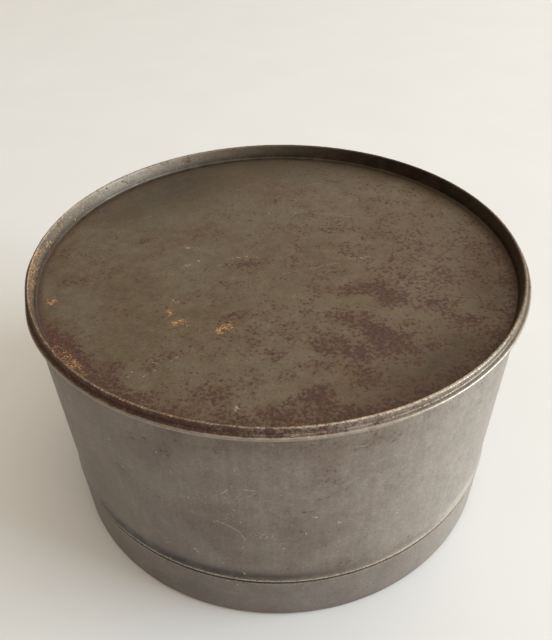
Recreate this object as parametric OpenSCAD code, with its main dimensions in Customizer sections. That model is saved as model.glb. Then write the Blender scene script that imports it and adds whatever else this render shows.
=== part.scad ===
// Round sheet-steel tin with a slip lid, standing upside down on its lid.
// Every piece is thin sheet turned about the Z axis. Each outline is drawn
// as the middle line of the sheet and then thickened.
// The origin is on the table, under the middle of the tin.

/* [Tin] */
// Diameter over the lip of the end seam
rim_d = 120; // [90:1:160]
// Height from the table to the crest of the rim
height = 68.4; // [45:0.1:120]
// Thickness of the sheet
sheet_t = 0.3; // [0.25:0.05:0.4]

/* [Rim] */
// How far the lip of the seam stands out from the wall
lip_out = 1.4; // [1.3:0.05:2.2]
// Height of the collar that stands above the seam
collar_h = 1.55; // [1.3:0.05:2.5]
// Depth of the end disc below the crest of the rim
recess_h = 3.9; // [3.5:0.1:6]
// Lean of the recess wall away from upright, in degrees
recess_lean = 8; // [2:1:10]

/* [Lid] */
// Height of the lid's skirt
skirt_h = 15.1; // [8:0.1:25]
// How far the skirt stands out from the wall of the tin
skirt_out = 0.33; // [0.3:0.01:0.45]
// Radius of the lid's outer corner
corner_r = 1.2; // [0.8:0.1:1.6]
// Gap all round between the skirt and the neck inside it
slip_gap = 0.12; // [0.08:0.01:0.2]

/* [Stop bead] */
// How far the bead stands out from the wall
bead_out = 0.4; // [0.3:0.05:0.8]
// Height of the flare that runs from the bead up into the wall
flare_h = 3.5; // [2:0.1:6]
// Height of the gap between the bead and the edge of the skirt
bead_gap = 0.35; // [0.2:0.05:1]

/* [Mouth and side seam] */
// Height of the hem that is folded inwards round the mouth
hem_h = 2.5; // [1.5:0.1:4]
// Width of the folded side seam
seam_w = 3.5; // [2:0.1:5]
// Radius of the solder run beside the seam
solder_r = 0.7; // [0.6:0.1:1]

/* [Hidden] */
$fn = 180;
fine_fn = 720;
arc_steps = 8;
tinplate = [0.42, 0.39, 0.34];
bare_end = [0.39, 0.35, 0.29];
lead_grey = [0.60, 0.60, 0.57];

// Wall, neck and bead, measured to the middle of the sheet
half_t = sheet_t / 2;
rim_r = rim_d / 2;
wall_r = rim_r - lip_out;
wall_mid = wall_r - half_t;
wall_in = wall_r - sheet_t;
skirt_r = wall_r + skirt_out;
neck_mid = skirt_r - sheet_t - slip_gap - half_t;
bead_mid = wall_mid + bead_out;
bead_foot_z = skirt_h + bead_gap - half_t;
bead_rise = 2 * bead_out;
bead_z = bead_foot_z + bead_rise;
flare_z = bead_z + flare_h;

// Hem round the mouth: a fold with a small space left inside it, clear of the lid's rounded corner
hem_space = 0.1;
hem_mid_r = (sheet_t + hem_space) / 2;
mouth_gap = 0.5;
mouth_z = sheet_t + mouth_gap;

// End seam: three layers of sheet, as the edge of the end is wrapped round the flange of the wall
seam_half_h = 1.5 * sheet_t;
seam_mid_z = height - collar_h - seam_half_h;
lip_r = rim_r - seam_half_h;
flange_bend_r = 0.4;
wrap_end_r = wall_r + flange_bend_r;

// Raised rim: the crest is a fold with the collar outside it, set in from the lip by the collar's bend
collar_bend_r = 0.45;
crest_mid_r = sheet_t;
crest_r = lip_r - collar_bend_r - 2 * crest_mid_r;
crest_z = height - crest_mid_r - half_t;
collar_mid = crest_r + crest_mid_r;

// Recess of the end disc
disc_z = height - recess_h - half_t;
disc_bend_r = 0.75;

// Side seam, which stops short of the end disc and of the hem
fold_layers = 2;
fold_angle = seam_w / wall_r * 180 / PI;
fold_gap = 0.3;
fold_top_z = disc_z - half_t - fold_gap;
fold_foot_z = mouth_z + hem_h + fold_gap;
seam_side = 90;
groove_w = 0.2;
groove_depth = 0.12;
groove_top_z = seam_mid_z - flange_bend_r;

// Points of an arc about c, from angle a to angle b
function arc(c, r, a, b, n = arc_steps) = [
    for (i = [0:n]) c + r * [cos(a + (b - a) * i / n), sin(a + (b - a) * i / n)]
];

// Unit vector a quarter turn to the left of the way from p to q
function left_of(p, q) = [p.y - q.y, q.x - p.x] / norm(q - p);

// Point i of a line, moved sideways by d, so that both stretches beside it keep that distance
function beside(line, i, d) =
    let (
        last = len(line) - 1,
        before = left_of(line[max(i - 1, 0)], line[max(i, 1)]),
        after = left_of(line[min(i, last - 1)], line[min(i + 1, last)]),
        sum = before + after
    )
    line[i] + sum * 2 * d / (sum * sum);

// Outline of the sheet whose middle follows the line
function sheet_outline(line) = concat(
    [for (i = [0:len(line) - 1]) beside(line, i, half_t)],
    [for (i = [len(line) - 1:-1:0]) beside(line, i, -half_t)]
);

// Middle line of the stop bead: its underside, then the flare above it
function bead_underside() = [
    for (i = [0:arc_steps])
        let (u = i / arc_steps)
        [neck_mid + (bead_mid - neck_mid) * (1 - cos(180 * u)) / 2, bead_foot_z + bead_rise * u]
];
function bead_flare() = [
    for (i = [1:arc_steps])
        let (u = i / arc_steps)
        [wall_mid + bead_out * (1 - u) * (1 - u), bead_z + flare_h * u]
];

// Middle line of the wall, from the hem inside the mouth up to the edge of the flange
function wall_line() = concat(
    [[neck_mid - 2 * hem_mid_r, mouth_z + hem_h]],
    arc([neck_mid - hem_mid_r, mouth_z + half_t + hem_mid_r], hem_mid_r, 180, 360),
    bead_underside(),
    bead_flare(),
    arc([wall_mid + flange_bend_r, seam_mid_z - flange_bend_r], flange_bend_r, 180, 90),
    [[lip_r, seam_mid_z]]
);

// Outline of the spare layers of the side seam, from the middle of the wall's own sheet inwards
function fold_outline() =
    let (
        outer = concat([[neck_mid, fold_foot_z]], bead_underside(), bead_flare(), [[wall_mid, fold_top_z]]),
        inwards = [half_t + fold_layers * sheet_t, 0]
    )
    concat(outer, [for (i = [len(outer) - 1:-1:0]) outer[i] - inwards]);

// Middle line of the end, from the middle of its disc to the edge that is wrapped under the flange
function end_line() =
    let (
        crest_foot = [crest_r, crest_z] + crest_mid_r * [-cos(recess_lean), sin(recess_lean)],
        bend_z = disc_z + disc_bend_r,
        rise = crest_foot.y - bend_z + disc_bend_r * sin(recess_lean),
        bend_r = crest_foot.x - rise * tan(recess_lean) - disc_bend_r * cos(recess_lean)
    )
    concat(
        [[0, disc_z]],
        arc([bend_r, bend_z], disc_bend_r, -90, -recess_lean),
        arc([crest_r, crest_z], crest_mid_r, 180 - recess_lean, 0),
        arc([collar_mid + collar_bend_r, seam_mid_z + sheet_t + collar_bend_r], collar_bend_r, 180, 270),
        arc([lip_r, seam_mid_z], sheet_t, 90, -90),
        [[wrap_end_r, seam_mid_z - sheet_t]]
    );

// Middle line of the lid, from the middle of its panel to the edge of its skirt
function lid_line() = concat(
    [[0, half_t]],
    arc([skirt_r - corner_r, corner_r], corner_r - half_t, -90, 0),
    [[skirt_r - half_t, skirt_h]]
);

// Sheet turned all the way round Z
module turned_sheet(line) {
    rotate_extrude()
        polygon(sheet_outline(line));
}

// Spare layers of the side seam, turned through the width of the seam
module seam_fold() {
    rotate([0, 0, seam_side - fold_angle / 2])
        rotate_extrude(angle = fold_angle)
            polygon(fold_outline());
}

// Groove on the outside where the two edges of the wall meet
module seam_groove() {
    rotate([0, 0, seam_side - fold_angle / 2])
        translate([wall_r - groove_depth, -groove_w / 2, flare_z])
            cube([sheet_t, groove_w, groove_top_z - flare_z]);
}

// Rolled wall: hemmed mouth, neck, stop bead, straight side and flange, with its folded side seam
module body_wall() {
    color(tinplate)
        difference() {
            union() {
                turned_sheet(wall_line());
                seam_fold();
            }
            seam_groove();
        }
}

// Solder run into the corner on each side of the side seam
module side_seam_solder() {
    color(lead_grey)
        translate([0, 0, flare_z])
            linear_extrude(fold_top_z - flare_z)
                for (side = [-1, 1])
                    solder_section(seam_side + side * fold_angle / 2);
}

// Section of the solder in the corner at the given angle
module solder_section(angle) {
    half = fold_angle / 2;
    difference() {
        intersection() {
            circle(wall_in, $fn = fine_fn);
            rotate(angle)
                translate([wall_in, 0])
                    circle(solder_r, $fn = fine_fn);
        }
        polygon([[0, 0], for (a = [-half, half]) 2 * wall_r * [cos(seam_side + a), sin(seam_side + a)]]);
    }
}

// End disc with its recess, raised rim and wrapped seam
module bottom_end() {
    color(bare_end)
        turned_sheet(end_line());
}

// One-piece drawn lid that slips over the neck
module lid_cap() {
    color(tinplate)
        turned_sheet(lid_line());
}

lid_cap();
body_wall();
side_seam_solder();
bottom_end();
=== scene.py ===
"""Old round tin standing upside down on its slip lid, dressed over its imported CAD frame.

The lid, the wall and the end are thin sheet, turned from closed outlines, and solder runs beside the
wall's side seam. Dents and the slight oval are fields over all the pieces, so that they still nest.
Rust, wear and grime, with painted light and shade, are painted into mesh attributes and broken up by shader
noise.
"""

import math

import bpy
import numpy as np
from mathutils import Matrix, Vector, noise


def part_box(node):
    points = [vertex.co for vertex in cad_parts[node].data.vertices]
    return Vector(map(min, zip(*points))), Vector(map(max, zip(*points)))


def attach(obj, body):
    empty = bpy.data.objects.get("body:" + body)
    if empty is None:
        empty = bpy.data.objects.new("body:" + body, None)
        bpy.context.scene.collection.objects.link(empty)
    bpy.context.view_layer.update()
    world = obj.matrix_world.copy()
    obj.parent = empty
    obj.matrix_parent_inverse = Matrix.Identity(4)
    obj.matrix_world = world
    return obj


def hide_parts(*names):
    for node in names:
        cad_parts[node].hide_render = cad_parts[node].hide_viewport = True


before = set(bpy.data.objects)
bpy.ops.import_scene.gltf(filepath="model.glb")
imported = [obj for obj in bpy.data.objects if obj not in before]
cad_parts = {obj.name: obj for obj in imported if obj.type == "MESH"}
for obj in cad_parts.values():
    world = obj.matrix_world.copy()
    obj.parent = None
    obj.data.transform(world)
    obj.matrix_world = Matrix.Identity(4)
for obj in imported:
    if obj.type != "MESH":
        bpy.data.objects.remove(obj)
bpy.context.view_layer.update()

MM = 0.001
TAU = 2 * math.pi

# ---------------------------------------------------------------- sizes
# The large ones come from the frame's boxes.
_, lid_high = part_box("lid_cap")
wall_low, wall_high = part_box("body_wall")
solder_low, solder_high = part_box("side_seam_solder")
end_low, end_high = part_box("bottom_end")

# The visual model stays this far inside the frame's box. The end's edge is wrapped round the wall's
# flange, so it stands one and a half sheets further out than the flange.
BOX_MARGIN = 0.02 * MM
RIM_R = min(end_high.x, end_high.y, -end_low.x, -end_low.y) - BOX_MARGIN
TOP_Z = end_high.z - BOX_MARGIN
LIP_R = min(wall_high.x, wall_high.y)
SHEET = round((end_high.x - LIP_R) / 1.5, 5)
HALF = SHEET / 2

SKIRT_R = min(lid_high.x, lid_high.y)
SKIRT_TOP = lid_high.z
SKIRT_OUT = 1.1 * SHEET
WALL_R = SKIRT_R - SKIRT_OUT
WALL_MID = WALL_R - HALF
WALL_IN = WALL_R - SHEET
SLIP_GAP = 0.4 * SHEET
NECK_MID = SKIRT_R - SHEET - SLIP_GAP - HALF
MOUTH_Z = wall_low.z
FLARE_TOP = solder_low.z
FOLD_TOP = solder_high.z
FLANGE_Z = wall_high.z - HALF
DISC_Z = end_low.z + HALF

CORNER_R = 4 * SHEET
HEM_H = 2.5 * MM
HEM_BEND_R = 0.2 * MM
BEAD_OUT = 0.4 * MM
BEAD_RISE = 2 * BEAD_OUT
FLARE_H = 3.5 * MM
FLANGE_BEND_R = 0.4 * MM
COLLAR_BEND_R = 0.45 * MM
CREST_BEND_R = SHEET
DISC_BEND_R = 0.75 * MM
RECESS_LEAN = math.radians(8)
SEAM_ANGLE = math.radians(90)
SEAM_W = 3.5 * MM
FOLD_ANGLE = SEAM_W / WALL_R
FOLD_LAYERS = 2
GROOVE_W = 0.2 * MM
GROOVE_DEPTH = 0.12 * MM

BEAD_TOP = FLARE_TOP - FLARE_H
BEAD_FOOT = BEAD_TOP - BEAD_RISE
BEAD_MID = WALL_MID + BEAD_OUT
CREST_R = LIP_R - COLLAR_BEND_R - 2 * CREST_BEND_R
CREST_Z = TOP_Z - CREST_BEND_R - HALF
COLLAR_MID = CREST_R + CREST_BEND_R
WRAP_END_R = WALL_R + FLANGE_BEND_R

# How finely a piece is divided round its axis and along a bend, and from what angle an edge is sharp.
TURNS = 720
WALL_TURNS = 640
FULL_TURN = np.arange(TURNS) * TAU / TURNS
BEND_STEPS = 8
SHARP = math.radians(38)


# ---------------------------------------------------------------- outlines, as (radius, height)
def arc(centre, radius, start, end, steps=BEND_STEPS):
    """Points of an arc, angles in degrees."""
    angles = np.radians(np.linspace(start, end, steps + 1))
    return [(centre[0] + radius * math.cos(a), centre[1] + radius * math.sin(a)) for a in angles]


def beside(line, distance):
    """The line moved sideways by a distance, with mitred corners."""
    line = np.array(line)
    way = np.diff(line, axis=0)
    way /= np.linalg.norm(way, axis=1)[:, None]
    left = np.stack([-way[:, 1], way[:, 0]], axis=1)
    before = np.vstack([left[:1], left])
    after = np.vstack([left, left[-1:]])
    total = before + after
    return line + total * (2 * distance / (total * total).sum(axis=1))[:, None]


def fill_in(line, step):
    """The line with its long stretches divided, so that no step is longer than the given one."""
    points = [line[0]]
    for a, b in zip(line[:-1], line[1:]):
        count = max(1, math.ceil(np.linalg.norm(b - a) / step))
        points += [a + (b - a) * k / count for k in range(1, count + 1)]
    return points


def sheet_outline(line, left_step, right_step):
    """Closed outline of the sheet whose middle follows the line, each side with its own step."""
    left_side = fill_in(beside(line, HALF), left_step)
    right_side = fill_in(beside(line, -HALF), right_step)
    return left_side + right_side[::-1]


def bead_line():
    """Middle of the sheet from the foot of the stop bead up to the top of its flare."""
    under = [
        (NECK_MID + (BEAD_MID - NECK_MID) * (1 - math.cos(math.pi * u)) / 2, BEAD_FOOT + BEAD_RISE * u)
        for u in np.linspace(0, 1, BEND_STEPS + 1)
    ]
    flare = [
        (WALL_MID + BEAD_OUT * (1 - u) ** 2, BEAD_TOP + FLARE_H * u) for u in np.linspace(0.1, 1, 10)
    ]
    return under + flare


def wall_line():
    """Middle of the wall's sheet, from its hem up to the edge of its flange."""
    hem_turn = arc((NECK_MID - HEM_BEND_R, MOUTH_Z + HALF + HEM_BEND_R), HEM_BEND_R, 180, 360)
    flange = arc((WALL_MID + FLANGE_BEND_R, FLANGE_Z - FLANGE_BEND_R), FLANGE_BEND_R, 180, 90)
    hem_edge = [(NECK_MID - 2 * HEM_BEND_R, MOUTH_Z + HEM_H)]
    return hem_edge + hem_turn + bead_line() + flange + [(LIP_R, FLANGE_Z)]


def end_line():
    """Middle of the end's sheet, from the middle of its disc to the edge wrapped under the flange."""
    lean = math.degrees(RECESS_LEAN)
    foot_r = CREST_R - CREST_BEND_R * math.cos(RECESS_LEAN)
    foot_z = CREST_Z + CREST_BEND_R * math.sin(RECESS_LEAN)
    bend_z = DISC_Z + DISC_BEND_R
    rise = foot_z - bend_z + DISC_BEND_R * math.sin(RECESS_LEAN)
    bend_r = foot_r - rise * math.tan(RECESS_LEAN) - DISC_BEND_R * math.cos(RECESS_LEAN)
    collar_z = FLANGE_Z + SHEET + COLLAR_BEND_R
    return (
        [(0, DISC_Z)]
        + arc((bend_r, bend_z), DISC_BEND_R, -90, -lean, 6)
        + arc((CREST_R, CREST_Z), CREST_BEND_R, 180 - lean, 0)
        + arc((COLLAR_MID + COLLAR_BEND_R, collar_z), COLLAR_BEND_R, 180, 270, 6)
        + arc((LIP_R, FLANGE_Z), SHEET, 90, -90)
        + [(WRAP_END_R, FLANGE_Z - SHEET)]
    )


def lid_line():
    """Middle of the lid's sheet, from the middle of its panel to the edge of its skirt."""
    corner = arc((SKIRT_R - CORNER_R, CORNER_R), CORNER_R - HALF, -90, 0)
    return [(0, HALF)] + corner + [(SKIRT_R - HALF, SKIRT_TOP)]


# ---------------------------------------------------------------- meshes
def new_mesh_object(name, points, faces):
    """A smooth-shaded object whose sharp corners stay sharp."""
    mesh = bpy.data.meshes.new(name)
    mesh.from_pydata([tuple(p) for p in points], [], faces)
    mesh.polygons.foreach_set("use_smooth", np.ones(len(mesh.polygons), bool))
    mesh.set_sharp_from_angle(angle=SHARP)
    mesh.update()
    made = bpy.data.objects.new(name, mesh)
    bpy.context.scene.collection.objects.link(made)
    return made


def turned(name, outline, angles=FULL_TURN):
    """Solid of revolution of a closed outline. A point on the axis becomes a single pole."""
    points, rows = [], []
    for radius, height in outline:
        if radius < BOX_MARGIN:
            rows.append([len(points)] * len(angles))
            points.append((0, 0, height))
            continue
        rows.append(list(range(len(points), len(points) + len(angles))))
        points += [(radius * math.cos(a), radius * math.sin(a), height) for a in angles]
    faces = []
    for low, high in zip(rows, rows[1:] + rows[:1]):
        for i in range(len(angles)):
            j = (i + 1) % len(angles)
            corners = list(dict.fromkeys((low[i], high[i], high[j], low[j])))
            if len(corners) > 2:
                faces.append(corners)
    return new_mesh_object(name, points, faces)


def coordinates(obj):
    """The object's points as an array."""
    points = np.zeros(len(obj.data.vertices) * 3)
    obj.data.vertices.foreach_get("co", points)
    return points.reshape(-1, 3)


def set_coordinates(obj, points):
    """Moves the object's points, and keeps them inside the space of the whole tin."""
    radius = np.hypot(points[:, 0], points[:, 1])
    squeeze = np.minimum(1, RIM_R / np.maximum(radius, BOX_MARGIN))
    points[:, :2] *= squeeze[:, None]
    points[:, 2] = np.clip(points[:, 2], 0, TOP_Z)
    obj.data.vertices.foreach_set("co", points.ravel())
    obj.data.update()


def paint(obj, name, values):
    """Writes one number per point into a mesh attribute that the shader reads."""
    attribute = obj.data.attributes.new(name, "FLOAT", "POINT")
    attribute.data.foreach_set("value", np.clip(values, 0, 1).astype(np.float32))


# ---------------------------------------------------------------- fields over the tin
def turn_from(angle, middle):
    """How far an angle is from another one, in degrees, wrapped to within half a turn."""
    return (np.degrees(angle) - middle + 180) % 360 - 180


def hump(distance):
    """Smooth bump of height 1 at distance 0."""
    return np.exp(-distance * distance)


def smooth(low, high, value):
    """Smooth step from 0 at low to 1 at high."""
    t = np.clip((value - low) / (high - low), 0, 1)
    return t * t * (3 - 2 * t)


def ripple(points, size, seed=0.0):
    """Smooth noise from -1 to 1 at each point, with features about one size across."""
    shift = Vector((seed * 1.7, seed * 2.3, seed * 3.1))
    return np.array([noise.noise(Vector(p) / size + shift) for p in points])


def arc_mask(angle, spans):
    """Sum of soft angular spans, each given as (middle, half width, strength) in degrees."""
    return sum(strength * hump(turn_from(angle, middle) / width) for middle, width, strength in spans)


# The rim's lip is pressed in at one place, and the whole tin is very slightly oval.
OVAL = 0.0012
OVAL_TURN = 70
NICK_ANGLE = 198
NICK_WIDTH = 9
NICK_DEPTH = 0.6 * MM

# The rolls leave a faint wave round the wall, and the disc is dished a little.
ROLL_WAVE = 0.02 * MM
DISH_DEPTH = 0.15 * MM

# Lumps in the rust on the rim: how far across, and how high at most.
CRUST_SIZE = 0.9 * MM
CRUST_HEIGHT = 0.1 * MM

# Shallow dents in the wall: (degrees, height, width, depth).
WALL_DENTS = [
    (236, 44 * MM, 13 * MM, 0.22 * MM),
    (262, 33 * MM, 10 * MM, 0.12 * MM),
    (281, 47 * MM, 12 * MM, 0.10 * MM),
    (318, 40 * MM, 16 * MM, 0.03 * MM),
    (343, 30 * MM, 12 * MM, 0.02 * MM),
    (35, 41 * MM, 12 * MM, 0.2 * MM),
    (120, 36 * MM, 14 * MM, 0.24 * MM),
    (168, 45 * MM, 11 * MM, 0.15 * MM),
]

# Shallow dents in the end disc: (x, y) as parts of the rim's radius, width, depth. A negative one rises.
DISC_DENTS = [
    (-0.35, 0.30, 14 * MM, 0.16 * MM),
    (0.30, 0.42, 17 * MM, -0.12 * MM),
    (-0.30, -0.48, 12 * MM, 0.12 * MM),
    (0.42, -0.42, 15 * MM, 0.14 * MM),
    (0.02, -0.05, 20 * MM, -0.10 * MM),
]


def make_oval(points):
    """Squeezes the tin a little along one line across it, the same for every piece."""
    angle = np.arctan2(points[:, 1], points[:, 0])
    keep = 1 - OVAL * (1 - np.cos(2 * (angle - math.radians(OVAL_TURN)))) / 2
    points[:, :2] *= keep[:, None]


def push_out(points, distance):
    """Moves points away from the axis by a distance each."""
    radius = np.maximum(np.hypot(points[:, 0], points[:, 1]), BOX_MARGIN)
    points[:, :2] *= (1 + distance / radius)[:, None]


def press_nick(points):
    """The dip in the lip of the end seam."""
    radius = np.hypot(points[:, 0], points[:, 1])
    angle = np.arctan2(points[:, 1], points[:, 0])
    outer = smooth(WALL_R - SHEET, LIP_R, radius) * smooth(FLANGE_Z - 6 * SHEET, FLANGE_Z, points[:, 2])
    push_out(points, -NICK_DEPTH * hump(turn_from(angle, NICK_ANGLE) / NICK_WIDTH) * outer)


def dent_wall(points):
    """Shallow dents and a faint roll wave in the straight part of the wall."""
    angle = np.arctan2(points[:, 1], points[:, 0])
    height = points[:, 2]
    straight = smooth(FLARE_TOP - FLARE_H / 2, FLARE_TOP + FLARE_H, height)
    straight *= 1 - smooth(FLANGE_Z - 8 * MM, FLANGE_Z - 3 * MM, height)
    depth = ROLL_WAVE * np.sin(4 * angle + 1)
    for middle, level, width, dent in WALL_DENTS:
        across = np.radians(turn_from(angle, middle)) * WALL_R
        depth += dent * hump(np.hypot(across, height - level) / width)
    push_out(points, -depth * straight)


def dish_disc(points):
    """Dents and the slight dish of the end disc, gone at its edge."""
    radius = np.hypot(points[:, 0], points[:, 1])
    flat = (1 - smooth(0.80 * RIM_R, 0.93 * RIM_R, radius)) * (np.abs(points[:, 2] - DISC_Z) < SHEET)
    depth = DISH_DEPTH * (1 - (radius / RIM_R) ** 2)
    for x, y, width, dent in DISC_DENTS:
        depth += dent * hump(np.hypot(points[:, 0] - x * RIM_R, points[:, 1] - y * RIM_R) / width)
    points[:, 2] -= depth * flat


def crust(points, amount):
    """Lumps of rust, pushed away from the axis and up where the amount says."""
    lumps = 0.6 * ripple(points, CRUST_SIZE, 1) + 0.4 * ripple(points, CRUST_SIZE / 2, 2)
    push_out(points, CRUST_HEIGHT * amount * lumps)
    points[:, 2] += 0.5 * CRUST_HEIGHT * amount * lumps


# ---------------------------------------------------------------- marks on the end
# Dense rust on the disc: (x, y) as parts of the rim's radius, half length, half width, turn, strength.
DISC_RUST = [
    (0.25, -0.21, 0.08, 0.04, 10, 0.55),
    (0.37, -0.18, 0.09, 0.04, 15, 0.60),
    (0.44, -0.25, 0.07, 0.05, -30, 0.70),
    (0.30, -0.40, 0.09, 0.05, -35, 0.80),
    (0.38, -0.48, 0.10, 0.06, -35, 0.90),
    (0.45, -0.53, 0.06, 0.05, 0, 0.75),
    (0.22, -0.53, 0.09, 0.06, 0, 0.80),
    (0.29, -0.58, 0.06, 0.04, 0, 0.65),
    (0.60, -0.28, 0.07, 0.05, -20, 0.65),
    (0.68, -0.40, 0.06, 0.04, -30, 0.50),
    (0.56, -0.52, 0.05, 0.04, 0, 0.45),
    (0.60, -0.70, 0.14, 0.08, 40, 0.16),
    (0.72, -0.58, 0.10, 0.06, 50, 0.14),
    (0.44, -0.80, 0.14, 0.06, 28, 0.25),
    (0.16, -0.64, 0.08, 0.04, 0, 0.50),
    (0.14, -0.80, 0.07, 0.08, 20, 0.65),
    (0.22, -0.86, 0.09, 0.04, 10, 0.55),
    (0.30, -0.70, 0.05, 0.07, 0, 0.60),
    (0.00, -0.86, 0.12, 0.05, 5, 0.50),
    (-0.11, -0.87, 0.10, 0.04, -8, 0.55),
    (-0.22, -0.78, 0.07, 0.05, 0, 0.50),
    (-0.46, -0.80, 0.10, 0.04, -30, 0.70),
    (-0.56, -0.66, 0.06, 0.05, -30, 0.60),
    (-0.72, -0.58, 0.14, 0.05, -50, 0.85),
    (-0.62, -0.72, 0.16, 0.035, -42, 0.80),
    (-0.36, -0.58, 0.10, 0.04, 10, 0.28),
    (-0.36, -0.74, 0.05, 0.03, 0, 0.35),
    (-0.57, 0.15, 0.06, 0.03, 20, 0.30),
    (-0.34, 0.20, 0.04, 0.03, 20, 0.34),
    (-0.12, -0.03, 0.16, 0.03, 12, 0.30),
    (-0.72, -0.12, 0.14, 0.03, 20, 0.28),
    (0.48, 0.10, 0.30, 0.16, 0, 0.16),
    (0.62, -0.08, 0.22, 0.12, 0, 0.20),
    (0.00, -0.45, 0.30, 0.20, 0, 0.14),
]

# Painted shade and dark patches on the disc, in wide soft clouds: the rim's shadow along the front right and
# the right, and a darker back and back left.
DISC_SHADE_AND_DARK_PATCHES = [
    (-0.50, 0.66, 0.45, 0.22, 40, 0.75),
    (0.05, 0.84, 0.55, 0.16, 0, 0.50),
    (0.60, -0.66, 0.34, 0.16, 42, 0.85),
    (0.66, -0.69, 0.36, 0.08, 43, 0.95),
    (0.84, -0.20, 0.12, 0.35, 0, 0.65),
]

# Loose orange rust: the same, in smaller spots.
DISC_ORANGE = [
    (-0.36, -0.40, 0.050, 0.026, 0, 0.70),
    (-0.29, -0.43, 0.060, 0.012, -25, 0.72),
    (-0.22, -0.46, 0.040, 0.014, 10, 0.70),
    (-0.18, -0.43, 0.050, 0.034, 30, 0.70),
    (-0.39, -0.28, 0.020, 0.040, 0, 0.7),
    (-0.40, -0.34, 0.015, 0.040, 20, 0.7),
    (-0.86, -0.28, 0.024, 0.030, 0, 0.7),
    (-0.14, 0.03, 0.050, 0.016, 12, 0.6),
    (0.30, 0.01, 0.050, 0.015, -5, 0.6),
    (-0.10, 0.02, 0.080, 0.020, 8, 0.4),
    (-0.40, -0.10, 0.060, 0.030, 0, 0.45),
    (-0.70, -0.62, 0.150, 0.040, -48, 0.36),
    (-0.50, -0.82, 0.060, 0.025, -32, 0.8),
    (0.66, -0.42, 0.05, 0.03, -30, 0.25),
]

# Pale bare spots.
DISC_PALE = [
    (-0.38, 0.10, 0.018, 0.010, 0, 1.0),
    (-0.37, -0.03, 0.015, 0.010, 0, 0.8),
    (-0.48, -0.68, 0.015, 0.010, 0, 0.7),
    (-0.34, -0.04, 0.120, 0.030, 5, 0.35),
    (-0.26, 0.62, 0.015, 0.080, 0, 0.3),
    (0.00, 0.55, 0.220, 0.030, 8, 0.3),
    (0.35, 0.02, 0.040, 0.015, 0, 0.6),
    (-0.12, -0.84, 0.012, 0.010, 0, 1.0),
    (0.08, 0.38, 0.100, 0.030, 0, 0.3),
]

# Thin scratches on the disc: from and to, as parts of the rim's radius.
DISC_SCRATCHES = [
    ((-0.44, -0.69), (-0.30, -0.56), 1.0),
    ((-0.42, -0.62), (-0.35, -0.64), 0.5),
    ((-0.36, -0.40), (-0.20, -0.46), 0.6),
    ((-0.05, 0.60), (0.22, 0.68), 0.3),
    ((0.02, -0.10), (0.25, -0.02), 0.3),
    ((-0.70, 0.30), (-0.55, 0.38), 0.3),
    ((0.10, 0.40), (0.42, 0.33), 0.25),
]

# Arcs of the rim, the disc's edge and the recess's wall: (middle, half width, strength) in degrees.
RIM_RUST = [(200, 30, 0.55), (230, 30, 0.7), (258, 20, 0.55), (286, 12, 0.15), (130, 40, 0.25)]
RIM_ORANGE = [(218, 22, 0.7), (250, 22, 0.75), (284, 14, 0.9), (302, 14, 0.6), (180, 18, 0.35)]
RIM_PALE = [(314, 22, 0.6), (288, 20, 0.6), (10, 30, 0.5), (165, 24, 0.5), (130, 40, 0.4)]
RIM_CLEAN = [(315, 20, 0.35), (276, 22, 0.7), (10, 30, 0.3)]
RIM_GRIME = [(215, 45, 0.08), (325, 22, 0.25)]
CREST_HIGHLIGHT = [(240, 40, 0.3)]
RECESS_ORANGE = [(192, 26, 0.5), (150, 30, 0.2)]
RECESS_PALE = [(190, 24, 0.25), (140, 60, 0.2)]
# Painted shade on the recess's wall, strongest at the back right where it faces away from the light; the two
# smaller arcs at the front left and left darken it less.
RECESS_SHADE_AND_GRIME = [(52, 48, 1.0), (212, 22, 0.4), (180, 20, 0.15)]
RECESS_CLEAN = [(148, 45, 0.35)]
DISC_EDGE_RUST = [(226, 26, 0.75), (262, 30, 0.45), (305, 26, 0.22), (150, 30, 0.3), (350, 30, 0.4)]


def spots(points, marks):
    """Soft ellipses on the disc, the strongest one at each point."""
    total = np.zeros(len(points))
    for x, y, half_length, half_width, turn, strength in marks:
        east = points[:, 0] / RIM_R - x
        north = points[:, 1] / RIM_R - y
        c, s = math.cos(math.radians(turn)), math.sin(math.radians(turn))
        along = (east * c + north * s) / half_length
        across = (north * c - east * s) / half_width
        total = np.maximum(total, strength * hump(np.hypot(along, across)))
    return total


def end_zones(points):
    """How far each point is in each part of the end: disc, its edge and foot, recess, collar, crest, lip."""
    radius = np.hypot(points[:, 0], points[:, 1])
    height = points[:, 2]
    inside = radius < CREST_R
    disc = (radius < CREST_R - 2 * SHEET) & (height < DISC_Z + SHEET)
    disc_edge = smooth(0.84, 0.97, radius / RIM_R)
    disc_foot = smooth(0.925, 0.96, radius / RIM_R) * inside
    disc_foot *= 1 - smooth(1 * MM, 2 * MM, height - DISC_Z)
    recess = smooth(DISC_Z + SHEET, DISC_Z + 3 * SHEET, height) * inside
    lip = smooth(LIP_R, LIP_R + SHEET, radius)
    collar = smooth(CREST_R, COLLAR_MID, radius) * (1 - lip) * (height > FLANGE_Z)
    crest = smooth(TOP_Z - 0.5 * SHEET, TOP_Z - 0.05 * SHEET, height)
    return disc, disc_edge, disc_foot, recess, collar, crest, lip


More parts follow.
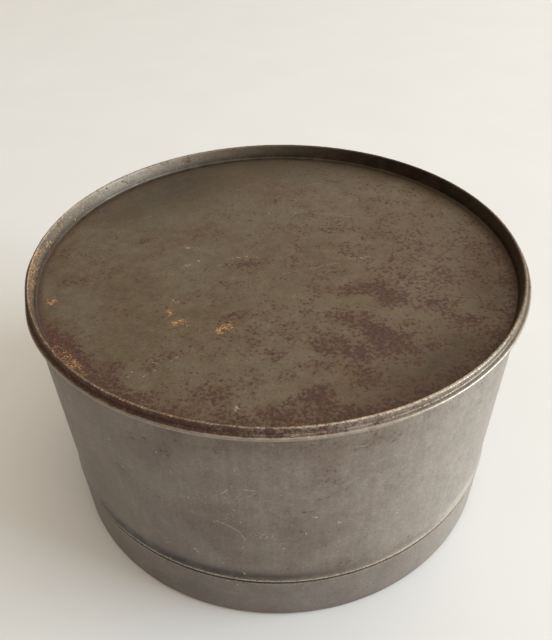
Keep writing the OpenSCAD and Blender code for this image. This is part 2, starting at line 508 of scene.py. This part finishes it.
def paint_end(end):
    """Where the end is rusty, orange, pale and worn, and where painted shade and highlights fall on it.
    Gives back how thick its rust crust is.
    """
    points = coordinates(end)
    angle = np.arctan2(points[:, 1], points[:, 0])
    disc, disc_edge, disc_foot, recess, collar, crest, lip = end_zones(points)
    to_right = smooth(-0.6, 0.6, points[:, 0] / RIM_R)

    rust = disc * (0.14 + 0.20 * to_right + spots(points, DISC_RUST))
    rust += disc * disc_edge * arc_mask(angle, DISC_EDGE_RUST)
    rust += collar * (0.24 + arc_mask(angle, RIM_RUST)) + 0.25 * recess
    orange = disc * (spots(points, DISC_ORANGE) + 0.3 * disc_edge * arc_mask(angle, RIM_ORANGE))
    orange += (0.45 * crest + 0.24 * collar) * arc_mask(angle, RIM_ORANGE)
    orange += recess * arc_mask(angle, RECESS_ORANGE)
    pale = disc * (0.05 + spots(points, DISC_PALE)) + 0.15 * lip
    pale += recess * arc_mask(angle, RECESS_PALE)
    # Painted highlight: the narrow top of the crest is made paler all round, more at the front left.
    pale += crest * (0.2 + arc_mask(angle, CREST_HIGHLIGHT))
    pale += (0.8 * crest + 0.55 * collar) * arc_mask(angle, RIM_PALE)
    # Painted shade: the foot of the recess, where the disc meets its wall, is darkened, and so is the
    # recess's wall, most at the back right.
    grime_and_shade = recess * arc_mask(angle, RECESS_SHADE_AND_GRIME) + 0.8 * disc_foot
    # Painted shade and dark patches on the disc, and grime on the collar.
    grime_and_shade += disc * spots(points, DISC_SHADE_AND_DARK_PATCHES) + collar * arc_mask(angle, RIM_GRIME)
    # Painted highlight: the lip is given the light tin colour, and made a little paler above, along its
    # lower edge.
    clean_and_lit = 0.85 * lip + collar * arc_mask(angle, RIM_CLEAN) + recess * arc_mask(angle, RECESS_CLEAN)
    paint(end, "rust", rust * (1 - 0.8 * lip))
    paint(end, "orange", orange)
    paint(end, "pale", pale)
    paint(end, "grime_and_shade", grime_and_shade)
    paint(end, "clean_and_lit", clean_and_lit)
    paint(end, "shine", 0.6 * lip + 0.4 * crest)
    return np.clip(collar + crest, 0, 1) * np.clip(0.4 + rust, 0, 1)


# ---------------------------------------------------------------- marks on the wall and lid
# Brown stains on the wall: (degrees, height, half width, half height, strength).
WALL_RUST = [
    (281, 54 * MM, 9 * MM, 12 * MM, 0.30),
    (284, 20 * MM, 12 * MM, 3 * MM, 0.50),
    (276, 40 * MM, 8 * MM, 16 * MM, 0.28),
    (300, 18 * MM, 12 * MM, 2 * MM, 0.40),
    (285, 61 * MM, 14 * MM, 3 * MM, 0.40),
    (246, 58 * MM, 8 * MM, 4 * MM, 0.36),
    (324, 58 * MM, 12 * MM, 8 * MM, 0.25),
    (336, 52 * MM, 8 * MM, 5 * MM, 0.25),
    (60, 40 * MM, 14 * MM, 14 * MM, 0.35),
    (112, 52 * MM, 12 * MM, 10 * MM, 0.30),
    (150, 30 * MM, 12 * MM, 10 * MM, 0.30),
]

# Rubbed places on the wall, given the same way. The last two, low on the right, are a painted highlight on
# the flare.
WALL_RUBS_AND_HIGHLIGHT = [
    (262, 46 * MM, 7 * MM, 2 * MM, 0.28),
    (260, 40 * MM, 3 * MM, 4 * MM, 0.24),
    (267, 34 * MM, 4 * MM, 2 * MM, 0.34),
    (250, 40 * MM, 8 * MM, 5 * MM, 0.14),
    (300, 42 * MM, 12 * MM, 8 * MM, 0.08),
    (321, 17.4 * MM, 10 * MM, 2 * MM, 1.0),
    (305, 16.5 * MM, 12 * MM, 1 * MM, 0.6),
]

# Arcs of the wall, its bead and flare, and the lid: (middle, half width, strength) in degrees.
UNDER_RIM_RUST = [(262, 28, 0.9)]
# Painted light: the right side of the wall, which faces the window, is made lighter in the light tin colour.
WALL_LIT_SIDE = [(320, 36, 1.0)]
# Painted highlight on the flare at the right.
FLARE_HIGHLIGHT = [(320, 24, 1.0)]
# Painted shade: the flare's dark band at the front left, the front and the back.
FLARE_SHADE = [(218, 50, 1.1), (270, 25, 0.4), (150, 60, 0.6)]
# Painted shadow in the gap between the lid's edge and the bead, at the front left.
GAP_SHADOW = [(200, 34, 1.0)]
BEAD_ORANGE = [(292, 22, 1.0)]
# Painted highlight along the bead's crest, stronger at the front left.
BEAD_HIGHLIGHT = [(240, 50, 0.45)]
# Painted light: the right side of the lid is made lighter.
LID_LIT_SIDE = [(325, 26, 0.9)]

# Scratches on the wall, each a strength and the places it runs through as (degrees, height in mm).
WALL_SCRATCHES = [
    (0.9, (259.0, 47.4), (260.6, 49.4), (263.4, 50.3), (266.6, 49.9)),
    (0.7, (264.6, 47.6), (266.6, 49.4)),
    (0.8, (257.5, 38.0), (260.0, 37.0), (262.4, 34.8), (263.4, 32.0)),
    (0.8, (266.2, 35.6), (267.8, 34.8)),
    (0.6, (234.5, 48.5), (239.0, 46.5), (243.5, 44.0)),
    (0.4, (243.5, 22.0), (245.5, 23.8)),
    (0.6, (285.0, 60.8), (287.5, 60.4)),
    (0.5, (302.0, 60.0), (303.5, 61.0)),
    (0.3, (334.0, 47.0), (335.0, 40.0)),
    (0.6, (40.0, 50.0), (46.0, 46.0), (52.0, 44.0)),
    (0.5, (128.0, 30.0), (131.0, 46.0)),
]


def stains(points, marks):
    """Soft ellipses on the wall, the strongest one at each point."""
    angle = np.arctan2(points[:, 1], points[:, 0])
    total = np.zeros(len(points))
    for middle, level, half_width, half_height, strength in marks:
        across = np.radians(turn_from(angle, middle)) * WALL_R / half_width
        up = (points[:, 2] - level) / half_height
        total = np.maximum(total, strength * hump(np.hypot(across, up)))
    return total


def paint_wall(wall):
    """Painted shade in the flare, at the lid's edge and in the gap above it, brown stains, paler rubbed
    places, and painted light on the right side with highlights on the flare and the bead.
    """
    points = coordinates(wall)
    angle = np.arctan2(points[:, 1], points[:, 0])
    radius = np.hypot(points[:, 0], points[:, 1])
    height = points[:, 2]
    outside = radius > WALL_MID - HALF
    under_rim = smooth(FLANGE_Z - 9 * MM, FLANGE_Z - 1 * MM, height) * outside
    bead_crest = hump((height - BEAD_TOP) / (0.5 * MM))
    flare = hump((height - BEAD_TOP - 1.6 * MM) / (1.9 * MM))
    below_bead = 1 - smooth(BEAD_FOOT - SHEET, BEAD_TOP, height)
    # The lid's edge line carries some rust and orange, and a painted shade line where the lid meets the
    # bead.
    lid_edge = hump((height - BEAD_FOOT) / (0.9 * MM)) * outside
    # Painted shadow in the gap above the lid's edge.
    gap_shadow = hump((height - BEAD_FOOT - 0.6 * MM) / (1.1 * MM)) * outside * arc_mask(angle, GAP_SHADOW)
    seam = hump((angle - SEAM_ANGLE) * WALL_R / SEAM_W) * outside

    rust = outside * (0.10 + stains(points, WALL_RUST)) + 0.30 * ~outside + 0.25 * seam
    rust += 0.16 * under_rim * (0.8 + arc_mask(angle, UNDER_RIM_RUST))
    rust += below_bead * (0.10 + 0.2 * lid_edge)
    orange = 0.35 * lid_edge + 0.5 * bead_crest * arc_mask(angle, BEAD_ORANGE)
    # Pale: rubbed places, and painted highlights on the flare at the right and all along the bead's crest.
    pale = outside * (0.22 + stains(points, WALL_RUBS_AND_HIGHLIGHT)) + 0.35 * seam
    pale += outside * bead_crest * (0.45 + arc_mask(angle, BEAD_HIGHLIGHT))
    # The light tin colour: painted light on the wall's right side, painted highlights on the flare at the
    # right and on the bead's crest, and clean sheet below the bead where the lid covers it.
    clean_and_lit = flare * arc_mask(angle, FLARE_HIGHLIGHT) + arc_mask(angle, WALL_LIT_SIDE)
    clean_and_lit += 0.7 * below_bead + bead_crest * (1 - gap_shadow)
    paint(wall, "rust", rust)
    paint(wall, "orange", orange)
    paint(wall, "pale", pale)
    # The dark mask is painted shade: the flare's dark band, a line at the lid's edge, and the shadow in the
    # gap above it.
    paint(wall, "grime_and_shade", outside * flare * arc_mask(angle, FLARE_SHADE) + 0.7 * lid_edge + gap_shadow)
    paint(wall, "shine", outside * (flare + bead_crest))
    paint(wall, "clean_and_lit", outside * clean_and_lit)


def paint_lid(lid):
    """Wear on the lid's upper edge and lower corner, light rust low on its skirt, and its right side painted
    lighter where the light falls.
    """
    points = coordinates(lid)
    angle = np.arctan2(points[:, 1], points[:, 0])
    radius = np.hypot(points[:, 0], points[:, 1])
    height = points[:, 2]
    outside = (radius > SKIRT_R - HALF) | (height < HALF)
    edge = smooth(SKIRT_TOP - SHEET, SKIRT_TOP, height)
    corner = hump((height - CORNER_R / 2) / (0.8 * MM)) * (radius > SKIRT_R - CORNER_R)
    paint(lid, "rust", 0.10 + 0.25 * ~outside + 0.15 * hump(height / (3 * MM)))
    paint(lid, "orange", 0.15 * edge)
    paint(lid, "pale", 0.10 + 0.5 * edge + 0.4 * corner)
    paint(lid, "grime_and_shade", 0.25 * corner)
    # Painted light: the lid's right side in the light tin colour.
    paint(lid, "clean_and_lit", outside * arc_mask(angle, LID_LIT_SIDE))


def paint_solder(solder):
    """Dull grey oxide with a little rust creeping in from the sheet."""
    points = coordinates(solder)
    height = points[:, 2]
    paint(solder, "rust", 0.08 + 0.25 * hump((height - FLARE_TOP) / (6 * MM)))
    paint(solder, "orange", np.full(len(points), 0.05))
    paint(solder, "pale", np.full(len(points), 0.5))
    paint(solder, "grime_and_shade", 0.2 + 0.3 * ripple(points, 5 * MM, 5))


# ---------------------------------------------------------------- pieces
def build_lid():
    """One-piece drawn lid."""
    lid = turned("lid", sheet_outline(lid_line(), left_step=3 * MM, right_step=2 * MM))
    paint_lid(lid)
    points = coordinates(lid)
    make_oval(points)
    set_coordinates(lid, points)
    return lid


def seam_angles():
    """Angles round the wall, closer together beside the side seam's two edges."""
    extra = [
        SEAM_ANGLE + side * FOLD_ANGLE / 2 + step * GROOVE_W / 4 / WALL_R
        for side in (-1, 1)
        for step in range(-4, 5)
    ]
    step = TAU / WALL_TURNS
    even = np.arange(WALL_TURNS) * step
    kept = [a for a in even if all(abs(a - e) > step / 3 for e in extra)]
    return np.array(sorted(kept + extra))


def press_side_seam(points):
    """The folded seam: a groove outside at one edge, a fainter one at the other, and its layers inside."""
    radius = np.hypot(points[:, 0], points[:, 1])
    angle = np.arctan2(points[:, 1], points[:, 0])
    height = points[:, 2]
    straight = smooth(FLARE_TOP - FLARE_H, FLARE_TOP, height)
    straight *= 1 - smooth(FLANGE_Z - 2 * FLANGE_BEND_R, FLANGE_Z - FLANGE_BEND_R, height)
    outside = radius > WALL_MID
    for side, depth in ((-1, GROOVE_DEPTH), (1, GROOVE_DEPTH / 2)):
        across = (angle - SEAM_ANGLE - side * FOLD_ANGLE / 2) * WALL_R
        push_out(points, -depth * hump(across / (GROOVE_W / 2)) * outside * straight)
    in_fold = np.abs(angle - SEAM_ANGLE) < FOLD_ANGLE / 2
    inside = (radius < WALL_IN + HALF) & (height > MOUTH_Z + HEM_H + HALF) & (height < FOLD_TOP)
    push_out(points, -FOLD_LAYERS * SHEET * (in_fold & inside))


def build_wall():
    """Rolled wall with its hem, neck, stop bead, flange and folded side seam."""
    outline = sheet_outline(wall_line(), left_step=3 * MM, right_step=1.5 * MM)
    wall = turned("wall", outline, seam_angles())
    paint_wall(wall)
    points = coordinates(wall)
    press_side_seam(points)
    dent_wall(points)
    press_nick(points)
    make_oval(points)
    set_coordinates(wall, points)
    return wall


def solder_run(side):
    """Points and faces of one uneven run of solder in the corner beside the fold, thinner at its ends."""
    steps, corners = 90, 9
    heights = np.linspace(FLARE_TOP, FOLD_TOP, steps + 1)
    points = []
    for height in heights:
        place = Vector((side * 7, 3, height / (2.5 * MM)))
        size = (0.62 + 0.16 * noise.noise(place) + 0.08 * noise.noise(place * 3)) * MM
        size *= 0.35 + 0.65 * math.sin(math.pi * (height - FLARE_TOP) / (FOLD_TOP - FLARE_TOP)) ** 0.25
        edge = SEAM_ANGLE + side * FOLD_ANGLE / 2
        points.append((WALL_IN * math.cos(edge), WALL_IN * math.sin(edge), height))
        for k in range(corners):
            turn = k / (corners - 1) * math.pi / 2
            angle = edge + side * size * math.cos(turn) / WALL_IN
            radius = WALL_IN - size * math.sin(turn)
            points.append((radius * math.cos(angle), radius * math.sin(angle), height))
    ring = corners + 1
    faces = [list(range(ring))[::-1], list(range(steps * ring, steps * ring + ring))]
    for row in range(steps):
        for k in range(ring):
            a, b = row * ring + k, row * ring + (k + 1) % ring
            faces.append([a, b, b + ring, a + ring])
    if side < 0:
        faces = [face[::-1] for face in faces]
    return points, faces


def build_solder():
    """The two solder runs beside the folded seam, one piece."""
    points, faces = [], []
    for side in (-1, 1):
        more_points, more_faces = solder_run(side)
        faces += [[i + len(points) for i in face] for face in more_faces]
        points += more_points
    solder = new_mesh_object("solder", points, faces)
    paint_solder(solder)
    points = coordinates(solder)
    make_oval(points)
    set_coordinates(solder, points)
    return solder


def build_end():
    """Recessed end disc with its raised rim and wrapped seam, crusted with rust."""
    end = turned("end", sheet_outline(end_line(), left_step=1.6 * MM, right_step=6 * MM))
    crusted = paint_end(end)
    points = coordinates(end)
    crust(points, crusted)
    dish_disc(points)
    press_nick(points)
    make_oval(points)
    set_coordinates(end, points)
    return end


# ---------------------------------------------------------------- shaders
# How wide a scratch is to each side, how far it strays, and over what length.
SCRATCH_HALF_W = 0.16 * MM
SCRATCH_SWAY = 0.8 * MM
SCRATCH_WAVE = 3 * MM


class Graph:
    """Short ways to add nodes to one material."""

    def __init__(self, name):
        self.material = bpy.data.materials.new(name)
        self.material.use_nodes = True
        self.tree = self.material.node_tree
        self.tree.nodes.clear()
        self.place = self.node("ShaderNodeTexCoord").outputs["Object"]

    def node(self, kind, inputs=(), **settings):
        """A new node with its settings, and with its inputs set or linked."""
        made = self.tree.nodes.new(kind)
        for key, value in settings.items():
            setattr(made, key, value)
        for key, value in dict(inputs).items():
            self.put(made.inputs[key], value)
        return made

    def put(self, socket, value):
        """Links the value to the socket where it is another node's output, or else sets it."""
        if isinstance(value, bpy.types.NodeSocket):
            self.tree.links.new(value, socket)
        else:
            socket.default_value = value

    def math(self, operation, a, b=0.0):
        """One sum with two values."""
        return self.node("ShaderNodeMath", {0: a, 1: b}, operation=operation).outputs[0]

    def times(self, a, b):
        """Product of two values."""
        return self.math("MULTIPLY", a, b)

    def add(self, first, *others):
        """Total of two or more values."""
        total = first
        for value in others:
            total = self.math("ADD", total, value)
        return total

    def swing(self, value, amount):
        """How far a noise is from its middle, times an amount."""
        return self.times(self.math("SUBTRACT", value, 0.5), amount)

    def vector(self, operation, a, b=(0, 0, 0), c=(0, 0, 0)):
        """One sum with two or three vectors."""
        made = self.node("ShaderNodeVectorMath", {0: a, 1: b, 2: c}, operation=operation)
        return made.outputs["Value" if operation in ("LENGTH", "DOT_PRODUCT") else "Vector"]

    def scaled(self, vector, amount):
        """A vector or colour times a value."""
        made = self.node("ShaderNodeVectorMath", {0: vector, "Scale": amount}, operation="SCALE")
        return made.outputs["Vector"]

    def attribute(self, name):
        """The painted mesh attribute of this name, or 0 where the piece has none."""
        return self.node("ShaderNodeAttribute", attribute_name=name).outputs["Fac"]

    def noise(self, size, detail=4.0, roughness=0.5, squash=(1, 1, 1), shift=0.0, distortion=0.0):
        """Noise from about 0 to 1 whose features are about one size across, stretched by squash."""
        mapping = {"Vector": self.place, "Scale": squash, "Location": (shift, 0, 0)}
        inputs = {
            "Vector": self.node("ShaderNodeMapping", mapping).outputs[0],
            "Scale": 1 / size,
            "Detail": detail,
            "Roughness": roughness,
            "Distortion": distortion,
        }
        return self.node("ShaderNodeTexNoise", inputs).outputs["Fac"]

    def step(self, value, low, high, to_low=0.0, to_high=1.0):
        """Smooth step between two levels."""
        inputs = {"Value": value, "From Min": low, "From Max": high, "To Min": to_low, "To Max": to_high}
        return self.node("ShaderNodeMapRange", inputs, interpolation_type="SMOOTHSTEP").outputs["Result"]

    def mix(self, factor, a, b):
        """Colour a, replaced by colour b as far as the factor says."""
        made = self.node("ShaderNodeMix", data_type="RGBA")
        self.put(made.inputs["Factor"], factor)
        self.put(made.inputs["A"], a)
        self.put(made.inputs["B"], b)
        return made.outputs["Result"]

    def scratch(self, start, end):
        """Mask of a thin wandering line between two places."""
        start, way = Vector(start), Vector(end) - Vector(start)
        inputs = {"Vector": self.place, "Scale": 1 / SCRATCH_WAVE, "Detail": 2.0}
        wander = self.node("ShaderNodeTexNoise", inputs).outputs["Color"]
        sway = (SCRATCH_SWAY,) * 3
        moved = self.vector("MULTIPLY_ADD", wander, sway, Vector(sway) / -2)
        ahead = self.vector("SUBTRACT", self.vector("ADD", self.place, moved), start)
        along = self.math("DIVIDE", self.vector("DOT_PRODUCT", ahead, way), way.length_squared)
        along = self.node("ShaderNodeClamp", {"Value": along}).outputs[0]
        distance = self.vector("LENGTH", self.vector("SUBTRACT", ahead, self.scaled(way, along)))
        return self.step(distance, SCRATCH_HALF_W, 0.3 * SCRATCH_HALF_W)

    def finished(self, inputs):
        """The material, with a principled shader that has the given inputs."""
        shader = self.node("ShaderNodeBsdfPrincipled", inputs)
        self.node("ShaderNodeOutputMaterial", {"Surface": shader.outputs[0]})
        return self.material


def srgb(red, green, blue):
    """A colour given as it looks on screen, from 0 to 255, as the shader wants it."""

    def linear(value):
        value /= 255
        return value / 12.92 if value <= 0.04045 else ((value + 0.055) / 1.055) ** 2.4

    return (linear(red), linear(green), linear(blue), 1)


MAROON = srgb(44, 25, 21)
RUST_BROWN = srgb(74, 41, 31)
RUST_DUST = srgb(124, 80, 62)
RUST_FILM = srgb(92, 66, 52)
DUSKY_PINK = srgb(116, 96, 92)
ORANGE = srgb(152, 102, 58)
ORANGE_DUST = srgb(190, 152, 104)
PALE_METAL = srgb(196, 184, 168)
# Dark colour of grime and of painted shade.
GRIME_AND_SHADE = srgb(40, 33, 26)
# Light tin colour of clean places and of painted light and highlights.
CLEAN_AND_LIT_TIN = srgb(148, 139, 130)


def bare_metal(g, tones, streaks, blotches, grain, drawn):
    """Colour of the metal without rust: clouds of its three tones, with pinkish places, clean places and
    painted light in the light tin colour, and grime and painted shade in the dark colour.
    """
    dark, middle, light = tones
    clouds = g.noise(15 * MM, 3, 0.55, distortion=0.4)
    colour = g.mix(g.step(clouds, 0.36, 0.52), dark, middle)
    colour = g.mix(g.times(g.step(clouds, 0.48, 0.66), 0.8), colour, light)
    # The light tin colour: clean places, and painted light and highlights.
    colour = g.mix(g.attribute("clean_and_lit"), colour, CLEAN_AND_LIT_TIN)
    tint = g.step(g.noise(1.8 * MM, 4, 0.65, shift=36), 0.44, 0.62)
    colour = g.mix(g.times(tint, 0.22), colour, DUSKY_PINK)
    shade = g.add(1.0, g.swing(blotches, 0.75), g.swing(grain, 0.8), g.swing(drawn, streaks))
    # The dark colour: grime, and painted shade.
    grime_and_shade = g.times(g.attribute("grime_and_shade"), g.step(blotches, 0.25, 0.6, 0.6, 1.0))
    return g.mix(grime_and_shade, g.scaled(colour, shade), GRIME_AND_SHADE)


def add_rust(g, colour, speckle, depth, specks):
    """Brown film, soft stains and dark powdery speckles in clusters. Gives back the colour and the mask."""
    rust = g.attribute("rust")
    clusters = g.noise(4.5 * MM, 3, 0.6, shift=16)
    reach = g.add(g.times(specks, 1.3), -0.15, g.swing(clusters, 0.55), g.times(rust, 0.34))
    speckles = g.times(g.step(reach, 0.67 - speckle, 0.82 - speckle), depth)
    stain = g.times(g.step(reach, 0.58 - speckle, 0.86 - speckle), 0.30)
    film = g.times(g.step(g.add(rust, clusters), 0.62, 1.25), 0.38)
    powder = g.noise(0.38 * MM, 3, 0.6, shift=21)
    rust_colour = g.mix(g.step(powder, 0.42, 0.62), MAROON, RUST_BROWN)
    rust_colour = g.mix(g.times(g.step(powder, 0.58, 0.70), 0.45), rust_colour, RUST_DUST)
    colour = g.mix(film, colour, RUST_FILM)
    colour = g.mix(stain, colour, RUST_BROWN)
    return g.mix(speckles, colour, rust_colour), speckles


def add_orange(g, colour, grain):
    """Loose orange rust in wisps. Gives back the colour and the mask."""
    flecks = g.noise(0.8 * MM, 4, 0.7, shift=25, distortion=1.2)
    orange = g.step(g.add(flecks, g.times(g.attribute("orange"), 0.42)), 0.68, 0.86)
    orange_colour = g.mix(g.step(grain, 0.4, 0.6), ORANGE, ORANGE_DUST)
    return g.mix(g.times(orange, 0.75), colour, orange_colour), orange


def add_pale(g, colour, rubs):
    """Rubbed places, painted highlights and tiny pale dots. Gives back the colour and the mask."""
    pale = g.attribute("pale")
    rubbed = g.step(g.add(rubs, g.times(pale, 0.40)), 0.70, 0.92)
    dots = g.step(g.noise(1.2 * MM, 2, 0.45, shift=41), 0.70, 0.76)
    dots = g.times(g.times(dots, g.step(rubs, 0.4, 0.5)), g.step(pale, 0.0, 0.2))
    mask = g.math("MAXIMUM", rubbed, dots)
    return g.mix(g.times(mask, 0.6), colour, PALE_METAL), mask


def add_scratches(g, colour, scratches, rubs):
    """Thin broken scratches down to pale metal. Gives back the colour and the mask."""
    marks = 0.0
    for start, end, strength in scratches:
        marks = g.math("MAXIMUM", marks, g.times(g.scratch(start, end), strength))
    broken = g.times(marks, g.step(rubs, 0.35, 0.55))
    return g.mix(g.times(broken, 0.75), colour, PALE_METAL), broken


def aged_metal(name, tones, metallic, roughness, speckle, depth, streaks, scratches=()):
    """Old tinned steel, with rust, orange dust, rubbed places and scratches over its bare metal.

    tones are its dark, middle and light colours. speckle is how readily rust breaks out, and depth how
    far a speckle hides the metal. streaks is how strongly the sheet is drawn up and down.
    """
    g = Graph(name)
    blotches = g.noise(3.2 * MM, 5, 0.62, shift=3)
    grain = g.noise(0.55 * MM, 3, 0.6, shift=5)
    drawn = g.noise(0.9 * MM, 3, 0.55, squash=(1, 1, 0.06), shift=8)
    specks = g.noise(0.95 * MM, 5, 0.74, shift=12)
    rubs = g.noise(0.32 * MM, 3, 0.6, shift=31)

    colour = bare_metal(g, tones, streaks, blotches, grain, drawn)
    colour, rust = add_rust(g, colour, speckle, depth, specks)
    colour, orange = add_orange(g, colour, grain)
    colour, pale = add_pale(g, colour, rubs)
    colour, broken = add_scratches(g, colour, scratches, rubs)

    rough = g.add(roughness, g.swing(blotches, 0.30), g.times(rust, 0.25))
    rough = g.add(rough, g.times(pale, -0.15), g.times(g.attribute("shine"), -0.20))
    height = g.add(g.times(grain, 0.25), g.times(drawn, streaks * 0.5))
    height = g.add(height, g.times(rust, g.add(specks, 0.3)), g.times(orange, 0.9), g.times(broken, -0.5))
    bump = g.node("ShaderNodeBump", {"Height": height, "Strength": 0.55, "Distance": 0.06 * MM})
    bare = g.math("SUBTRACT", 1.0, g.math("MAXIMUM", rust, orange))
    inputs = {
        "Base Color": colour,
        "Metallic": g.times(bare, metallic),
        "Roughness": rough,
        "Normal": bump.outputs[0],
    }
    return g.finished(inputs)


def disc_scratches():
    """The disc's scratches as places on its upper face."""
    top = DISC_Z + HALF
    return [
        ((a[0] * RIM_R, a[1] * RIM_R, top), (b[0] * RIM_R, b[1] * RIM_R, top), strength)
        for a, b, strength in DISC_SCRATCHES
    ]


def wall_scratches():
    """The wall's scratches as short stretches between places on its outside."""

    def place(degrees, height):
        angle = math.radians(degrees)
        return (WALL_R * math.cos(angle), WALL_R * math.sin(angle), height * MM)

    return [
        (place(*start), place(*end), strength)
        for strength, *route in WALL_SCRATCHES
        for start, end in zip(route, route[1:])
    ]


def end_material():
    """Bare rusted end: olive brown, thick with speckles."""
    return aged_metal(
        "end_rusted",
        tones=(srgb(91, 79, 62), srgb(96, 86, 70), srgb(99, 91, 76)),
        metallic=0.45,
        roughness=0.45,
        speckle=0.0,
        depth=0.9,
        streaks=0.0,
        scratches=disc_scratches(),
    )


def wall_material():
    """Dull grey tinplate of the wall, drawn up and down by the rolls."""
    return aged_metal(
        "wall_tinplate",
        tones=(srgb(105, 94, 85), srgb(114, 104, 95), srgb(122, 113, 105)),
        metallic=0.55,
        roughness=0.42,
        speckle=-0.07,
        depth=0.55,
        streaks=0.35,
        scratches=wall_scratches(),
    )


def lid_material():
    """Dull grey tinplate of the lid."""
    return aged_metal(
        "lid_tinplate",
        tones=(srgb(102, 94, 86), srgb(112, 103, 95), srgb(119, 111, 104)),
        metallic=0.55,
        roughness=0.42,
        speckle=-0.07,
        depth=0.55,
        streaks=0.15,
    )


def solder_material():
    """Grey lead-tin solder, gone dull."""
    return aged_metal(
        "solder",
        tones=(srgb(136, 134, 128), srgb(160, 158, 152), srgb(182, 180, 172)),
        metallic=0.75,
        roughness=0.38,
        speckle=-0.10,
        depth=0.8,
        streaks=0.0,
    )


def floor_material():
    """Pale painted table with a very faint mottle."""
    g = Graph("pale_floor")
    tone = g.mix(g.noise(40 * MM, 2, 0.5), srgb(208, 210, 214), srgb(214, 216, 220))
    return g.finished({"Base Color": tone, "Roughness": 0.45})


# ---------------------------------------------------------------- floor, light and camera
def build_floor():
    """Wide plain table top with a finely divided middle."""
    half = 40 * RIM_R
    cuts = 24
    spread = [half * (2 * k / cuts - 1) ** 3 for k in range(cuts + 1)]
    points = [(x, y, -BOX_MARGIN) for y in spread for x in spread]
    faces = []
    for row in range(cuts):
        for k in range(cuts):
            a = row * (cuts + 1) + k
            faces.append([a, a + 1, a + cuts + 2, a + cuts + 1])
    floor = new_mesh_object("floor", points, faces)
    floor.data.materials.append(floor_material())


def toward(turn, climb):
    """Unit vector at so many degrees round and up from the tin."""
    turn, climb = math.radians(turn), math.radians(climb)
    return Vector((math.cos(climb) * math.cos(turn), math.cos(climb) * math.sin(turn), math.sin(climb)))


def build_window():
    """Cool daylight from a wide window on the right, a little in front."""
    light = bpy.data.lights.new("window", "AREA")
    light.shape = "RECTANGLE"
    light.size = 40 * RIM_R
    light.size_y = 20 * RIM_R
    light.energy = 182.0
    light.color = (0.78, 0.92, 1.0)
    window = bpy.data.objects.new("window", light)
    window.location = 60 * RIM_R * toward(-8, 18)
    way = Vector((0, 0, TOP_Z / 2)) - window.location
    window.rotation_euler = way.to_track_quat("-Z", "Y").to_euler()
    bpy.context.scene.collection.objects.link(window)


def build_room():
    """Soft light from a room that is bright overhead and to the right, and dim and brown opposite."""
    world = bpy.data.worlds.new("room")
    bpy.context.scene.world = world
    world.use_nodes = True
    tree = world.node_tree
    tree.nodes.clear()
    direction = tree.nodes.new("ShaderNodeTexCoord")
    facing = tree.nodes.new("ShaderNodeVectorMath")
    facing.operation = "DOT_PRODUCT"
    tree.links.new(direction.outputs["Generated"], facing.inputs[0])
    facing.inputs[1].default_value = Vector((0.64, -0.02, 0.77)).normalized()
    spread = tree.nodes.new("ShaderNodeMapRange")
    spread.interpolation_type = "SMOOTHSTEP"
    spread.inputs["From Min"].default_value = -0.1
    spread.inputs["From Max"].default_value = 0.9
    tree.links.new(facing.outputs["Value"], spread.inputs["Value"])
    room = tree.nodes.new("ShaderNodeMix")
    room.data_type = "RGBA"
    tree.links.new(spread.outputs["Result"], room.inputs["Factor"])
    room.inputs["A"].default_value = (0.17, 0.13, 0.08, 1)
    room.inputs["B"].default_value = (1.47, 1.30, 1.06, 1)
    back = tree.nodes.new("ShaderNodeBackground")
    tree.links.new(room.outputs["Result"], back.inputs["Color"])
    back.inputs["Strength"].default_value = 1.0
    out = tree.nodes.new("ShaderNodeOutputWorld")
    tree.links.new(back.outputs[0], out.inputs["Surface"])
    bpy.context.scene.view_settings.view_transform = "Standard"


def build_camera():
    """Camera close above the front of the tin, looking down at it.

    Its tilt, its place in radii of the rim, and its lens were found from the photo's circles of the
    rim, the bead and the base.
    """
    pitch = math.radians(41.6)
    roll = math.radians(-0.28)
    place = Vector((0.054, -2.2315, 2.5523)) * end_high.x
    right = Vector((1, 0, 0))
    down = Vector((0, -math.sin(pitch), -math.cos(pitch)))
    forward = Vector((0, math.cos(pitch), -math.sin(pitch)))
    leaned_right = math.cos(roll) * right - math.sin(roll) * down
    leaned_down = math.sin(roll) * right + math.cos(roll) * down
    lens = bpy.data.cameras.new("camera")
    lens.lens = 36.15
    lens.sensor_width = 36
    lens.shift_x = -0.024
    lens.shift_y = 0.049
    lens.clip_start = 0.01
    camera = bpy.data.objects.new("camera", lens)
    turn = Matrix((leaned_right, -leaned_down, -forward)).transposed().to_4x4()
    camera.matrix_world = Matrix.Translation(place) @ turn
    bpy.context.scene.collection.objects.link(camera)
    bpy.context.scene.camera = camera


# ---------------------------------------------------------------- the whole scene
def dress(piece, material, body, node):
    """Gives a piece its material, and ties it to the frame."""
    piece.data.materials.append(material)
    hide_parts(node)
    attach(piece, body)


dress(build_lid(), lid_material(), "lid", "lid_cap")
dress(build_wall(), wall_material(), "tin", "body_wall")
dress(build_solder(), solder_material(), "tin", "side_seam_solder")
dress(build_end(), end_material(), "tin", "bottom_end")
build_floor()
build_window()
build_room()
build_camera()
